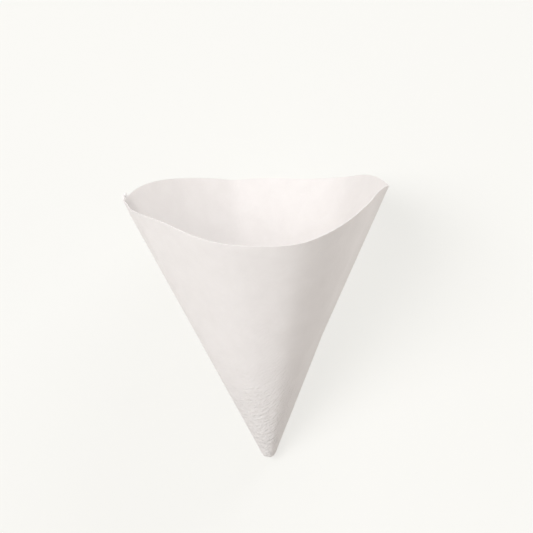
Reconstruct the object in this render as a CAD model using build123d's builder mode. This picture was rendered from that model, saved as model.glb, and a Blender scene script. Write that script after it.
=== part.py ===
"""Paper coffee filter, cone kind: one folded sheet, opened out and lying on its lower panel.

Two equal panels meet at a fold crease (+X side) and at a crimped seam (-X side).  Every straight
line of the sheet runs to one apex, so the panels roll out flat into two equal sectors, and the rim,
an arc in the flat sheet, lies on a sphere about the apex.  The apex itself is cut off and pressed
shut, and the seam's double-ply tab is folded back along the outside of the lower panel.

Millimetres, +Z up.  The table is Z = 0, the tip points to -Y and the mouth opens to +Y and upwards.
The origin is the middle of the footprint.
"""
import os
from math import cos, radians, sin, tan

from build123d import *

# ---- driving dimensions -------------------------------------------------------------------
slant = 104.0            # apex to rim, along the paper
paper = 0.2              # thickness of one ply
crease_angle = 24.9      # degrees from the axis of the cone out to either crease
upper_angle = 32.2       # degrees from the axis up to the top of the upper panel
lower_angle = 31.3       # degrees from the axis down to the flat of the lower panel
tip_height = 4.2         # apex to the blunt tip, along the axis
tip_wall = 0.7           # pressed end at the tip
tip_round = 0.9          # corner radius around the blunt tip
tab_width = 5.5          # seam tab, from its crease to its free edge
tab_proud = 1.2          # how far the tab stands past the rim
tab_gap = 12.0           # degrees between the folded tab and the lower panel
tab_tip_width = 1.2      # what is left of the tab at the blunt tip
tab_full_height = 14.0   # height along the axis where the tab reaches its full width

# Outline of a cross section between the creases, as shares of its half width and of the depth of
# that panel.  The mouth is a little skewed: the upper panel is fuller towards the fold, and the
# lower one rounder there.
upper_panel = [
    (-0.874, 0.372), (-0.573, 0.731), (-0.184, 0.964), (0.346, 0.951), (0.702, 0.663), (0.859, 0.337),
]
lower_panel_left = [(-0.811, 0.358), (-0.565, 0.700), (-0.375, 0.880)]
lower_panel_right = [(0.650, 0.859), (0.868, 0.464)]
flat_start, flat_end = -0.140, 0.300       # strip of the lower panel that lies flat on the table

# Directions of the panels where they meet the creases, in degrees.
upper_at_seam, upper_at_fold = 86, -67
lower_at_seam, lower_at_fold = -67, 76

# ---- frame of the cone --------------------------------------------------------------------
apex = Vector(0, 0, 0)
axis = Vector(0, cos(radians(lower_angle)), sin(radians(lower_angle)))


def cross_plane(height):
    """Plane square to the axis: x runs from the seam to the fold, y towards the upper panel."""
    return Plane(origin=apex + axis * height, x_dir=(1, 0, 0), z_dir=-axis)


def heading(angle):
    return (cos(radians(angle)), sin(radians(angle)))


def cone_face(height, inset=0.0):
    """Cross section of the cone, with its wall moved in by the inset, measured square to the paper."""

    def reach(angle):
        return height * tan(radians(angle)) - inset / cos(radians(angle))

    half_width, upper_depth, lower_depth = reach(crease_angle), reach(upper_angle), reach(lower_angle)
    seam, fold = (-half_width, 0), (half_width, 0)
    upper = [(x * half_width, y * upper_depth) for x, y in upper_panel]
    left = [(x * half_width, -y * lower_depth) for x, y in lower_panel_left]
    right = [(x * half_width, -y * lower_depth) for x, y in lower_panel_right]
    flat = [(x * half_width, -lower_depth) for x in (flat_start, flat_end)]
    with BuildSketch(cross_plane(height)) as section:
        with BuildLine():
            Spline(seam, *upper, fold, tangents=[heading(upper_at_seam), heading(upper_at_fold)])
            Spline(seam, *left, flat[0], tangents=[heading(lower_at_seam), heading(0)])
            Line(*flat)
            Spline(flat[1], *right, fold, tangents=[heading(0), heading(lower_at_fold)])
        make_face()
    return section.sketch.face()


def tip_corner(turn):
    """Cross section in the round corner of the blunt tip: turn 0 at its end, and 90 at its side."""
    rise = tip_round * (1 - cos(radians(turn)))
    inset = tip_round * (1 - sin(radians(turn)))
    return cone_face(tip_height + rise, inset)


def tab_face(height, width):
    """Cross section of the double-ply seam tab, folded back from the seam crease."""
    seam = Location((-height * tan(radians(crease_angle)), 0, 0), lower_at_seam - tab_gap)
    with BuildSketch(cross_plane(height)) as section:
        with Locations(seam):
            Rectangle(width, 2 * paper, align=(Align.MIN, Align.MIN))
    return section.sketch.face()


# ---- seam tab -----------------------------------------------------------------------------
tab_stations = [(tip_height, tab_tip_width), (tab_full_height, tab_width), (slant + tab_proud, tab_width)]
with BuildPart() as seam_tab:
    loft(sections=[tab_face(height, width) for height, width in tab_stations], ruled=True)
    with Locations(apex):
        Sphere(slant + tab_proud, mode=Mode.INTERSECT)

# ---- filter cone --------------------------------------------------------------------------
with BuildPart() as filter_cone:
    loft(sections=[*(tip_corner(turn) for turn in (0, 30, 60, 90)), cone_face(slant)], ruled=True)
    loft(sections=[cone_face(tip_height + tip_wall, paper), cone_face(slant, paper)],
         ruled=True, mode=Mode.SUBTRACT)
    with Locations(apex):
        Sphere(slant, mode=Mode.INTERSECT)
    add(seam_tab.part)

# The cone is built from its apex, then set over the middle of its own footprint.
footprint = filter_cone.part.bounding_box().center()
filter_cone.part.move(Location((-footprint.X, -footprint.Y, 0)))

filter_cone.part.label = "filter_cone"
os.makedirs("parts", exist_ok=True)
export_step(filter_cone.part, "parts/filter_cone.step")
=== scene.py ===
"""Paper coffee filter, cone kind, opened out and lying on its lower panel.

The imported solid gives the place, and its main sizes are repeated here.  The paper itself is one
thin folded sheet: an upper and a lower panel that meet at a fold crease on the +X side and at a
crimped seam on the -X side.  Every straight line of the sheet runs to one apex, so a cross section
is the same outline at each distance from the apex, and the rim lies on a sphere about it.

The shape is worked out in millimetres from the apex, and turned into metres where a mesh is made.
Bearings go round the axis of the cone: 0 at the fold, 90 at the top of the upper panel and 180 at
the seam.
"""
from math import cos, pi, radians, sin, tan

import bpy
import numpy as np
from mathutils import Matrix, Vector, noise


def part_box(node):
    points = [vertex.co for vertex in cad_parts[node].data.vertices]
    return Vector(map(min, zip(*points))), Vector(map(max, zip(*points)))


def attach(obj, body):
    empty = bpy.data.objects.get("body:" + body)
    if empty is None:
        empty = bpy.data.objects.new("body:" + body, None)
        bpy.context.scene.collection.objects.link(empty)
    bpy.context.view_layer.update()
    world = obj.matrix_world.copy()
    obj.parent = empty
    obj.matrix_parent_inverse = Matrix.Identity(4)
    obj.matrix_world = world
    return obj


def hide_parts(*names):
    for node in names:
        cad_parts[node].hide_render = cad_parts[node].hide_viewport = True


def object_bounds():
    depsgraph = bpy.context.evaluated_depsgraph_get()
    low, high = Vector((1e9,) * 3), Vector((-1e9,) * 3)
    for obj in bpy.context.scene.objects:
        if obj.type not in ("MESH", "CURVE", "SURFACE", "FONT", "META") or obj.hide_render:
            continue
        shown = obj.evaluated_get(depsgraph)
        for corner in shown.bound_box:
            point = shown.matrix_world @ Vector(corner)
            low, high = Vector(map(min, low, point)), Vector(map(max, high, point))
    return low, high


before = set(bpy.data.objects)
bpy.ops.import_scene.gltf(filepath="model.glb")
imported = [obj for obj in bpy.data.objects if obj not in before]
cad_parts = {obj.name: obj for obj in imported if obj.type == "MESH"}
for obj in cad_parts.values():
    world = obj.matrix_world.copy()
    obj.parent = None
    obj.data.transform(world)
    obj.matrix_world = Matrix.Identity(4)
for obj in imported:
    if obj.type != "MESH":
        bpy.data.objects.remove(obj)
cad_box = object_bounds()
MM = 0.001

# ---- sizes of the sheet -------------------------------------------------------------------
SLANT = 104.0            # apex to rim
PAPER = 0.2              # thickness of one ply
CREASE_ANGLE = 24.9      # half angle of the cone at the two creases
LOWER_ANGLE = 31.3       # half angle down to the flat of the lower panel
TIP_HEIGHT = 4.2         # apex to the blunt tip, along the axis
TIP_WALL = 0.7           # pressed end of the tip
TIP_ROUND = 0.55         # corner round the blunt tip
TAB_WIDTH = 5.5          # seam tab, from its crease to its free edge
SEAM_SHIFT = 0.2         # the lower panel starts this far inside the seam crease,
SHIFT_TOWARDS = 11       # in this direction of the cross section,
SHIFT_REACH = 9.0        # and eases back to its own outline over about this width

# The mouth: half angles of the cone, in degrees, at bearings round its axis.
UPPER_OUTLINE = [
    (169, 24.5), (157.5, 25.0), (147, 25.35), (138, 25.75), (127, 26.85), (113, 29.3), (99, 31.4),
    (88, 32.1), (76.6, 32.1), (69, 31.05), (59, 29.15), (46.4, 26.75), (35, 25.1), (25, 24.05),
    (14, 23.7), (6, 24.15),
]
LOWER_LEFT_OUTLINE = [(-163, 23.4), (-146, 23.7), (-130, 25.4), (-116, 27.6), (-106, 29.7)]
LOWER_RIGHT_OUTLINE = [(-61.5, 31.2), (-49.5, 29.2), (-36.5, 26.4), (-20.5, 24.5)]
FLAT_START, FLAT_END = -0.058, 0.130     # strip that lies flat on the table, per unit of height
UPPER_AT_SEAM, UPPER_AT_FOLD = 99, -67   # directions of the panels where they meet the creases
LOWER_AT_SEAM, LOWER_AT_FOLD = -67, 76

# ---- frame of the cone --------------------------------------------------------------------
node_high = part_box("filter_cone")[1]
APEX = np.array([
    node_high.x / MM - SLANT * sin(radians(CREASE_ANGLE)),
    node_high.y / MM - SLANT,
    0.0,
])
ACROSS = np.array([1.0, 0.0, 0.0])
AXIS = np.array([0.0, cos(radians(LOWER_ANGLE)), sin(radians(LOWER_ANGLE))])
UPWARDS = np.array([0.0, -AXIS[2], AXIS[1]])
SECTION = np.array([ACROSS, UPWARDS])    # turns a place in the cross section into one in space


def unit(vectors):
    return vectors / np.linalg.norm(vectors, axis=-1, keepdims=True)


def heading(angle):
    return np.array([cos(radians(angle)), sin(radians(angle))])


def smooth_step(value, start, end):
    share = np.clip((value - start) / (end - start), 0.0, 1.0)
    return share * share * (3.0 - 2.0 * share)


def bump(value, middle, width):
    return np.exp(-((value - middle) / width) ** 2)


def noise_at(points, size, seed):
    """Smooth noise, about -1 to 1, with features of the given size."""
    flat = np.reshape(points, (-1, 3)) / size + seed
    return np.reshape([noise.noise(Vector(p)) for p in flat], np.shape(points)[:-1])


# ---- cross section of the two panels ------------------------------------------------------
def spline(points, start, end, count=400):
    """Smooth curve through the points, that leaves in one direction and arrives in another."""
    points = np.array(points, float)
    step = np.linalg.norm(np.diff(points, axis=0), axis=1)
    knots = np.concatenate([[0.0], np.cumsum(step)])
    slope = np.diff(points, axis=0) / step[:, None]
    system, tangent = np.eye(len(points)), np.zeros_like(points)
    tangent[0], tangent[-1] = start, end
    for i in range(1, len(points) - 1):
        system[i, i - 1:i + 2] = step[i], 2 * (step[i - 1] + step[i]), step[i - 1]
        tangent[i] = 3 * (step[i] * slope[i - 1] + step[i - 1] * slope[i])
    tangent = np.linalg.solve(system, tangent)
    where = np.linspace(0.0, knots[-1], count)
    span = np.clip(np.searchsorted(knots, where, side="right") - 1, 0, len(step) - 1)
    size = step[span][:, None]
    t = (where - knots[span])[:, None] / size
    return (
        (1 + 2 * t) * (1 - t) ** 2 * points[span]
        + t * (1 - t) ** 2 * size * tangent[span]
        + t * t * (3 - 2 * t) * points[span + 1]
        + t * t * (t - 1) * size * tangent[span + 1]
    )


def mouth_point(bearing, half_angle):
    """Point of the outline, in the plane one unit of height above the apex."""
    return heading(bearing) * tan(radians(half_angle))


seam_point = mouth_point(180, CREASE_ANGLE)
fold_point = mouth_point(0, CREASE_ANGLE)
flat_points = [np.array([x, -tan(radians(LOWER_ANGLE))]) for x in (FLAT_START, FLAT_END)]
upper_line = spline(
    [seam_point, *(mouth_point(*p) for p in UPPER_OUTLINE), fold_point],
    heading(UPPER_AT_SEAM), heading(UPPER_AT_FOLD),
)
lower_line = np.concatenate([
    spline([seam_point, *(mouth_point(*p) for p in LOWER_LEFT_OUTLINE), flat_points[0]],
           heading(LOWER_AT_SEAM), heading(0)),
    np.linspace(*flat_points, 120)[1:-1],
    spline([flat_points[1], *(mouth_point(*p) for p in LOWER_RIGHT_OUTLINE), fold_point],
           heading(0), heading(LOWER_AT_FOLD)),
])


def rulings(line, shares):
    """Directions from the apex through the outline, at shares of the panel's angle, in radians."""
    rays = unit(np.column_stack([line, np.ones(len(line))]))
    turns = np.arccos(np.clip((rays[1:] * rays[:-1]).sum(1), -1, 1))
    along = np.concatenate([[0.0], np.cumsum(turns)])
    where = shares * along[-1]
    return unit(np.column_stack([np.interp(where, along, rays[:, i]) for i in range(3)])), where


# Even columns across a panel, with a few narrow ones at its two creases, as shares of its angle.
PANEL_COLUMNS = 134
CREASE_STEPS = [0.0, 0.0012, 0.003]
FIRST_EVEN = 0.0065
even = np.linspace(FIRST_EVEN, 1 - FIRST_EVEN, PANEL_COLUMNS)
shares = np.concatenate([CREASE_STEPS, even, 1 - np.array(CREASE_STEPS)[::-1]])
upper_rays, upper_angle = rulings(upper_line, shares)
lower_rays, lower_angle = rulings(lower_line, shares)

# The columns go once round: seam, upper panel, fold, lower panel and back to the seam.
rays = np.concatenate([upper_rays, lower_rays[-2::-1]])
is_lower = np.arange(len(rays)) >= len(upper_rays)
past_seam = np.concatenate([upper_angle, lower_angle[-2::-1]])
past_fold = np.where(is_lower, lower_angle[-1], upper_angle[-1]) - past_seam
blank_turn = np.where(is_lower, upper_angle[-1] + past_fold, past_seam)
ray_vectors = rays @ np.array([ACROSS, UPWARDS, AXIS])

# ---- rows of the outside, from the middle of the blunt tip to the rim ---------------------
BODY_ROWS = 132
END_SHARES = (0.3, 0.65)
CORNER_TURNS = (0, 30, 60)
body_height = TIP_HEIGHT + TIP_ROUND


def level_row(height, inset=0.0, share=1.0):
    """Cross section at a height, moved in by the inset, and shrunk to a share about the axis."""
    flat = rays[:, :2] / rays[:, 2:]
    reach = np.linalg.norm(flat, axis=1, keepdims=True) * height
    flat = flat * height * (1 - inset / reach) * share
    return flat @ SECTION + AXIS * height


def corner_row(turn):
    rise = TIP_ROUND * (1 - cos(radians(turn)))
    return level_row(TIP_HEIGHT + rise, TIP_ROUND * (1 - sin(radians(turn))))


def body_row(share):
    """Level at the tip, and at the slant's distance from the apex at the rim."""
    start = body_height / rays[:, 2]
    return ray_vectors * (start + (SLANT - start) * share)[:, None]


tip_rows = [level_row(TIP_HEIGHT, TIP_ROUND, share) for share in END_SHARES]
tip_rows += [corner_row(turn) for turn in CORNER_TURNS]
body_rows = [body_row(share) for share in np.linspace(0.0, 1.0, BODY_ROWS)]
outside = np.array(tip_rows + body_rows)
first_body = len(tip_rows)

# ---- how the paper departs from a true cone -----------------------------------------------
distance = np.linalg.norm(outside, axis=2)
off_seam = past_seam * distance
off_fold = past_fold * distance
off_crease = np.minimum(off_seam, off_fold)


def around(grid):
    """Unit vectors square to the paper, pointing out of the cone."""
    across = np.roll(grid, -1, axis=1) - np.roll(grid, 1, axis=1)
    across[:, 0] = grid[:, 1] - grid[:, 0]
    across[:, -1] = grid[:, -1] - grid[:, -2]
    along = np.gradient(grid, axis=0)
    return unit(np.cross(across, along))


# The fold is pressed in about half way down, as where a thumb has held it.
PRESS_DEPTH, PRESS_PLACE, PRESS_REACH = 1.25, 50.0, 12.0
press = np.minimum(distance / PRESS_PLACE, (SLANT - distance) / (SLANT - PRESS_PLACE)).clip(0.0)
press = press * PRESS_DEPTH * bump(off_fold, 0.0, PRESS_REACH)
outside -= press[..., None] * ACROSS

# The corner of the mouth at the seam curls in a little.
CURL_DEPTH, CURL_LENGTH, CURL_REACH = 0.3, 6.0, 8.0
curl = smooth_step(distance, SLANT - CURL_LENGTH, SLANT) * bump(off_seam, 0.0, CURL_REACH)
outside += CURL_DEPTH * curl[..., None] * ACROSS

# The lower panel starts a ply inside the upper one, and eases back to its own outline.
seam_room = SEAM_SHIFT * smooth_step(distance, 5.0, 16.0)
ease = np.where(is_lower, bump(off_seam, 0.0, SHIFT_REACH), 0.0)
outside += (seam_room * ease)[..., None] * (heading(SHIFT_TOWARDS) @ SECTION)

# Slow waves, and small dents towards the tip, 5 to 46 mm from the apex, where it was pinched.
WAVE, DENT = 0.22, 0.09
wave = WAVE * noise_at(outside, 34.0, 3.0) * smooth_step(off_crease, 1.0, 16.0)
pinch = (1 - smooth_step(distance, 16.0, 46.0)) * smooth_step(distance, 5.0, 9.0)
dents = noise_at(outside * [1.0, 0.55, 1.0], 2.6, 11.0) + 0.6 * noise_at(outside, 1.3, 17.0)
dents = DENT * dents * pinch * smooth_step(off_crease, 0.3, 3.0)
outside += (wave * (distance / SLANT) + dents)[..., None] * around(outside)

# ---- inside of the shell ------------------------------------------------------------------
normals = around(outside)
inside = (outside - PAPER * normals)[first_body:]
# Beside the seam the two inner faces run into one line, where the plies touch.  It is placed in the
# cross section from the crease, and moves along the upper panel where the lower one is shifted in.
MEET_REACH = 1.1
MEET_PLACE, MEET_MOVE = np.array([0.203, 0.034]), np.array([0.03, 0.43])
shift_share = (seam_room / SEAM_SHIFT)[first_body:, 0, None]
meet_line = outside[first_body:, 0] + (MEET_PLACE + shift_share * MEET_MOVE) @ SECTION
near = (off_seam[first_body:] / MEET_REACH).clip(0.0, 1.0)[..., None]
inside = meet_line[:, None] * (1 - near) + inside * near
FLOOR_SHARES = (*END_SHARES, 0.97)       # the floor of the tip reaches nearly to its wall
floor_height = TIP_HEIGHT + TIP_WALL
inner_end = [level_row(floor_height, PAPER, share) for share in FLOOR_SHARES]
inside = np.concatenate([inner_end, inside])


# ---- meshes -------------------------------------------------------------------------------
def grid_faces(rows, columns, start, closed, flip=False):
    """Quads of a grid of vertices, whose columns may go once round."""
    last = columns if closed else columns - 1
    for row in range(rows - 1):
        for column in range(last):
            a = start + row * columns + column
            b = start + row * columns + (column + 1) % columns
            quad = (a, b, b + columns, a + columns)
            yield quad[::-1] if flip else quad


OFF_FLOOR = 0.00002      # the paper comes no nearer to the floor than this, in metres


def build(name, points, faces, blank):
    """Mesh object of points given in millimetres from the apex, with its flat layout as UV."""
    mesh = bpy.data.meshes.new(name)
    place = (points + APEX) * MM
    place[:, 2] = np.maximum(place[:, 2], OFF_FLOOR)
    mesh.from_pydata(place.tolist(), [], faces)
    layout = mesh.uv_layers.new(name="blank")
    corners = np.zeros(len(mesh.loops), int)
    mesh.loops.foreach_get("vertex_index", corners)
    layout.uv.foreach_set("vector", blank[corners].astype(np.float32).ravel())
    mesh.polygons.foreach_set("use_smooth", [True] * len(mesh.polygons))
    mesh.set_sharp_from_angle(angle=radians(48))
    mesh.validate()
    piece = bpy.data.objects.new(name, mesh)
    bpy.context.scene.collection.objects.link(piece)
    return piece


def blank_layout(turn, far):
    """Place on the flat blank, in units of 100 mm."""
    return np.stack([far * np.sin(turn), far * np.cos(turn)], axis=-1) / 100.0


def make_shell():
    columns = len(rays)
    outer_rows, inner_rows = len(outside), len(inside)
    inner_start = outer_rows * columns
    outer_tip = inner_start + inner_rows * columns
    inner_tip = outer_tip + 1
    points = np.concatenate([
        outside.reshape(-1, 3), inside.reshape(-1, 3), [AXIS * TIP_HEIGHT, AXIS * floor_height],
    ])
    faces = list(grid_faces(outer_rows, columns, 0, True))
    faces += grid_faces(inner_rows, columns, inner_start, True, flip=True)
    for column in range(columns):
        after = (column + 1) % columns
        faces.append((outer_tip, after, column))
        faces.append((inner_tip, inner_start + column, inner_start + after))
        rim = (outer_rows - 1) * columns
        inner_rim = inner_start + (inner_rows - 1) * columns
        faces.append((rim + column, rim + after, inner_rim + after, inner_rim + column))
    turn = np.tile(blank_turn, outer_rows + inner_rows)
    far = np.linalg.norm(points, axis=1)
    blank = blank_layout(np.append(turn, [0.0, 0.0]), far)
    return build("filter_panels", points, faces, blank)


# ---- seam tab: two crimped plies, folded back behind the lower panel ----------------------
TAB_ROWS = 400
TAB_AT_TIP, TAB_AT_RIM = -80.0, -79.0    # its direction from the seam, in degrees,
TAB_SWAY, SWAY_LENGTH = 1.2, 11.0        # which sways a little along the seam
TAB_LEAD = 0.4           # it starts this far down the rounded corner of the tip,
TAB_START = 0.16         # at this share of its width,
TAB_FULL = 15.5          # and has its full width at this distance from the apex
TAB_RISE = 1.3           # it stands this far past the rim,
TAB_DIP = 0.6            # with a dip this deep between its two points,
DIP_PLACE = 3.6          # which is this far from the crease
DIP_WIDTH = 0.75
ROOT_DEPTH = 0.05        # the outer ply comes out of the upper panel from this far inside it,
ROOT_PAPER = 0.01        # and is this thin there
PLY_GAP = 0.01           # between the two plies
CRIMP_PITCH, CRIMP_DEPTH, CRIMP_SLANT = 1.45, 0.13, 0.3
# Columns of the two plies, by their distance from the crease, and closer together beside it.  The
# outer ply starts on the upper panel, and the free edge of the inner one stands back a little.
SHARED_WIDTHS = [0.35, 0.7, 1.1, 1.6, 2.2, 2.7, 3.2, 3.7, 4.2, 4.7]
OUTER_WIDTHS = [-1.0, -0.6, -0.25, 0.05, *SHARED_WIDTHS, 5.2, TAB_WIDTH]
INNER_WIDTHS = [-0.1, *SHARED_WIDTHS, 5.1, TAB_WIDTH - 0.15]


def in_section(angle):
    """Direction in the cross section, at an angle from the seam-to-fold line."""
    angle = np.radians(angle)
    return np.cos(angle)[..., None] * ACROSS + np.sin(angle)[..., None] * UPWARDS


def tab_top(width):
    """How far the tab stands past the rim: it rises to two points with a dip between them."""
    return TAB_RISE * smooth_step(width, 0.2, 1.9) - TAB_DIP * bump(width, DIP_PLACE, DIP_WIDTH)


def outer_ply(width):
    """Inner and outer face of the ply that runs on from the upper panel."""
    root = smooth_step(width, -1.0, 0.5)
    low = np.where(width < 0.0, -ROOT_DEPTH - ROOT_PAPER, 0.0)
    return low, (PAPER + ROOT_DEPTH) * root - ROOT_DEPTH


def inner_ply(width):
    """Inner and outer face of the ply that is folded back from the lower panel."""
    return np.full(width.shape, -PAPER - PLY_GAP), np.full(width.shape, -PLY_GAP)


def make_tab_ply(name, widths, faces_at, turn_at):
    """One ply of the tab.  Columns before the crease lie on the upper panel."""
    widths = np.array(widths)
    columns = len(widths)
    first = body_height / rays[0, 2] - TAB_LEAD
    share = np.linspace(0.0, 1.0, TAB_ROWS)[:, None]
    far = first + share * (SLANT + tab_top(widths) - first)
    taper = TAB_START + (1 - TAB_START) * smooth_step(far, first, TAB_FULL)
    folded = widths >= 0.0
    width = widths * np.where(folded, taper, far / SLANT)
    direction = TAB_AT_TIP + (TAB_AT_RIM - TAB_AT_TIP) * far / SLANT
    direction = direction + TAB_SWAY * np.sin(far / SWAY_LENGTH)
    direction = np.where(folded, direction, UPPER_AT_SEAM - 180.0)
    back, out = in_section(direction), in_section(direction - 90.0)
    curl_in = CURL_DEPTH * smooth_step(far, SLANT - CURL_LENGTH, SLANT)
    middle = far[..., None] * ray_vectors[0] + width[..., None] * back + curl_in[..., None] * ACROSS
    crimp = CRIMP_DEPTH * np.sin(2 * pi * (far + CRIMP_SLANT * width) / CRIMP_PITCH)
    crimp = crimp * smooth_step(width, 0.5, 1.3) * taper
    low, high = faces_at(widths)
    low_face = middle + (low + crimp)[..., None] * out
    high_face = middle + (high + crimp)[..., None] * out
    size = TAB_ROWS * columns
    faces = list(grid_faces(TAB_ROWS, columns, 0, False, flip=True))
    faces += grid_faces(TAB_ROWS, columns, size, False)
    border = list(range(columns))
    border += [row * columns + columns - 1 for row in range(1, TAB_ROWS)]
    border += [size - 2 - column for column in range(columns - 1)]
    border += [row * columns for row in range(TAB_ROWS - 2, 0, -1)]
    for here, after in zip(border, border[1:] + border[:1]):
        faces.append((here, after, after + size, here + size))
    points = np.concatenate([low_face.reshape(-1, 3), high_face.reshape(-1, 3)])
    blank = blank_layout(turn_at(width / far), far).reshape(-1, 2)
    return build(name, points, faces, np.concatenate([blank, blank]))


# ---- paper --------------------------------------------------------------------------------
def add(tree, kind, inputs=(), **settings):
    """A shader node with its settings, and its inputs given by name."""
    made = tree.nodes.new(kind)
    for name, value in settings.items():
        setattr(made, name, value)
    for name, value in dict(inputs).items():
        if isinstance(value, bpy.types.NodeSocket):
            tree.links.new(value, made.inputs[name])
        else:
            made.inputs[name].default_value = value
    return made


def paper_material(name, translucency):
    """White crepe filter paper: faint cloudy formation, fibres, fine wrinkles, some glow."""
    material = bpy.data.materials.new(name)
    material.use_nodes = True
    tree = material.node_tree
    tree.nodes.clear()
    blank = add(tree, "ShaderNodeUVMap", uv_map="blank").outputs["UV"]
    clouds = add(tree, "ShaderNodeTexNoise", {
        "Vector": blank, "Scale": 14.0, "Detail": 6.0, "Roughness": 0.62, "Distortion": 0.4})
    fibres = add(tree, "ShaderNodeTexNoise", {
        "Vector": blank, "Scale": 150.0, "Detail": 3.0, "Roughness": 0.6, "Distortion": 2.2})
    formation = add(tree, "ShaderNodeMix", {
        "Factor": 0.4, "A": clouds.outputs["Fac"], "B": fibres.outputs["Fac"]}, data_type="FLOAT")
    tint = add(tree, "ShaderNodeValToRGB", {"Fac": formation.outputs["Result"]})
    tint.color_ramp.elements[0].position = 0.3
    tint.color_ramp.elements[0].color = (0.845, 0.820, 0.810, 1)
    tint.color_ramp.elements[1].position = 0.7
    tint.color_ramp.elements[1].color = (0.890, 0.867, 0.858, 1)

    # Wrinkles lie one way on the blank, and are deep only towards the tip, where it was handled.
    slanted = add(tree, "ShaderNodeMapping", {
        "Vector": blank, "Rotation": (0.0, 0.0, radians(-97)), "Scale": (0.009, 0.023, 1.0),
    }, vector_type="TEXTURE")
    wrinkles = add(tree, "ShaderNodeTexNoise", {
        "Vector": slanted.outputs["Vector"], "Scale": 1.0, "Detail": 1.0, "Roughness": 0.4,
        "Distortion": 0.5})
    relief = add(tree, "ShaderNodeMix", {
        "Factor": 0.12, "A": wrinkles.outputs["Fac"], "B": fibres.outputs["Fac"]}, data_type="FLOAT")
    from_apex = add(tree, "ShaderNodeVectorMath", {0: blank}, operation="LENGTH")
    handled = add(tree, "ShaderNodeMapRange", {
        "Value": from_apex.outputs["Value"], "From Min": 0.3, "From Max": 0.54,
        "To Min": 1.0, "To Max": 0.15})
    height = add(tree, "ShaderNodeMath", {
        0: relief.outputs["Result"], 1: handled.outputs["Result"]}, operation="MULTIPLY")
    surface = add(tree, "ShaderNodeBump", {
        "Strength": 1.0, "Distance": 0.00055, "Height": height.outputs["Value"]})
    sheet = add(tree, "ShaderNodeBsdfPrincipled", {
        "Base Color": tint.outputs["Color"], "Roughness": 0.82, "Specular IOR Level": 0.3,
        "Normal": surface.outputs["Normal"]})
    glow = add(tree, "ShaderNodeBsdfTranslucent", {
        "Color": tint.outputs["Color"], "Normal": surface.outputs["Normal"]})
    both = add(tree, "ShaderNodeMixShader", {
        "Fac": translucency, 1: sheet.outputs["BSDF"], 2: glow.outputs["BSDF"]})
    add(tree, "ShaderNodeOutputMaterial", {"Surface": both.outputs["Shader"]})
    return material


# The two plies of the tab are pressed together, so less light comes through them.
filter_paper = paper_material("filter_paper", 0.4)
crimped_paper = paper_material("crimped_paper", 0.15)
seam_to_seam = blank_turn[-1]
panels = make_shell()
outer_leaf = make_tab_ply("seam_tab_outer_ply", OUTER_WIDTHS, outer_ply, lambda turn: -turn)
inner_leaf = make_tab_ply(
    "seam_tab_inner_ply", INNER_WIDTHS, inner_ply, lambda turn: seam_to_seam + turn,
)
finishes = (panels, filter_paper), (outer_leaf, crimped_paper), (inner_leaf, crimped_paper)
for piece, material in finishes:
    piece.data.materials.append(material)
    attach(piece, "root")
    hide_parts("filter_cone")


# ---- studio -------------------------------------------------------------------------------
def pale_floor():
    """Matt, and lit from below like a light table, so that shadows stay faint."""
    material = bpy.data.materials.new("pale_floor")
    material.use_nodes = True
    shader = material.node_tree.nodes["Principled BSDF"]
    shader.inputs["Base Color"].default_value = (0.20, 0.199, 0.192, 1)
    shader.inputs["Roughness"].default_value = 0.9
    shader.inputs["Specular IOR Level"].default_value = 0.0
    shader.inputs["Emission Color"].default_value = (1.0, 0.992, 0.957, 1)
    shader.inputs["Emission Strength"].default_value = 0.69
    return material


FLOOR_SIZE = 80.0
floor_mesh = bpy.data.meshes.new("floor")
floor_mesh.from_pydata(
    [(x * FLOOR_SIZE / 2, y * FLOOR_SIZE / 2, 0) for x, y in ((-1, -1), (1, -1), (1, 1), (-1, 1))],
    [], [(0, 1, 2, 3)],
)
floor = bpy.data.objects.new("floor", floor_mesh)
bpy.context.scene.collection.objects.link(floor)
floor.data.materials.append(pale_floor())

LIGHT_DISTANCE = 3.0     # metres, from the middle of the filter


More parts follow.
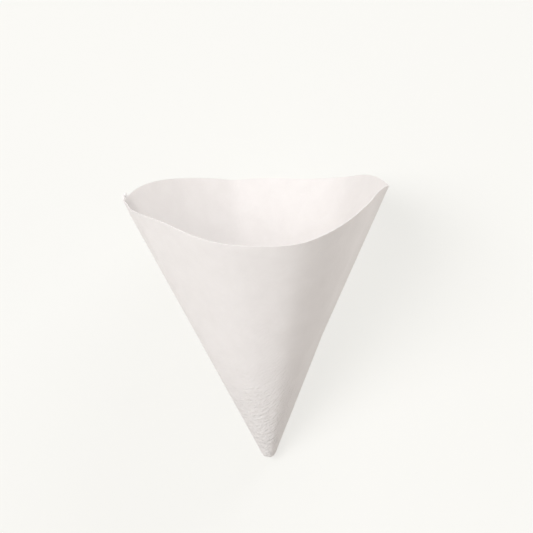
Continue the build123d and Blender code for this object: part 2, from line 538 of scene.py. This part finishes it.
def area_light(name, azimuth, elevation, size, power, colour):
    """Square soft light that faces the filter, with its azimuth counted from +X."""
    light = bpy.data.lights.new(name, "AREA")
    light.size = size
    light.energy = power
    light.color = colour
    lamp = bpy.data.objects.new(name, light)
    azimuth, elevation = radians(azimuth), radians(elevation)
    back = Vector((cos(azimuth) * cos(elevation), sin(azimuth) * cos(elevation), sin(elevation)))
    lamp.location = (cad_box[0] + cad_box[1]) / 2 + back * LIGHT_DISTANCE
    lamp.rotation_euler = back.to_track_quat("Z", "Y").to_euler()
    bpy.context.scene.collection.objects.link(lamp)


area_light("key", 192, 63, 1.6, 80.0, (1.0, 1.0, 1.0))
area_light("into_the_mouth", 61, 20, 2.0, 55.0, (0.97, 0.985, 1.0))
area_light("warm_fill", 352, 20, 1.6, 8.0, (1.0, 0.80, 0.66))

# The surroundings are brighter round the horizon, where they meet the far floor.
world = bpy.data.worlds.new("studio")
world.use_nodes = True
sky = world.node_tree
upwards = add(sky, "ShaderNodeTexCoord").outputs["Generated"]
climb = add(sky, "ShaderNodeSeparateXYZ", {"Vector": upwards})
surroundings = add(sky, "ShaderNodeValToRGB", {"Fac": climb.outputs["Z"]})
surroundings.color_ramp.elements[0].color = (0.77, 0.763, 0.738, 1)
surroundings.color_ramp.elements[1].position = 0.26
surroundings.color_ramp.elements[1].color = (0.40, 0.395, 0.388, 1)
sky.links.new(surroundings.outputs["Color"], sky.nodes["Background"].inputs["Color"])
bpy.context.scene.world = world
bpy.context.scene.view_settings.view_transform = "Standard"

# ---- camera: looks down on the filter, nearly square to its axis, a little into its mouth --
ELEVATION, ROLL = radians(71.47), radians(2.9)
FOCAL_LENGTH, SENSOR = 155.35, 36.0
APEX_IN_VIEW = Vector((1.18, -67.58, -775.3)) * MM      # from the lens: right, below and ahead

level_right = Vector((1, 0, 0))
level_up = Vector((0, sin(ELEVATION), cos(ELEVATION)))
back = Vector((0, -cos(ELEVATION), sin(ELEVATION)))
right = level_right * cos(ROLL) - level_up * sin(ROLL)
up = level_right * sin(ROLL) + level_up * cos(ROLL)
turned = Matrix((right, up, back)).transposed()
camera = bpy.data.objects.new("camera", bpy.data.cameras.new("camera"))
camera.data.lens = FOCAL_LENGTH
camera.data.sensor_width = SENSOR
camera.data.clip_end = 50.0
camera.matrix_world = Matrix.Translation(Vector(APEX) * MM - turned @ APEX_IN_VIEW) @ turned.to_4x4()
bpy.context.scene.collection.objects.link(camera)
bpy.context.scene.camera = camera
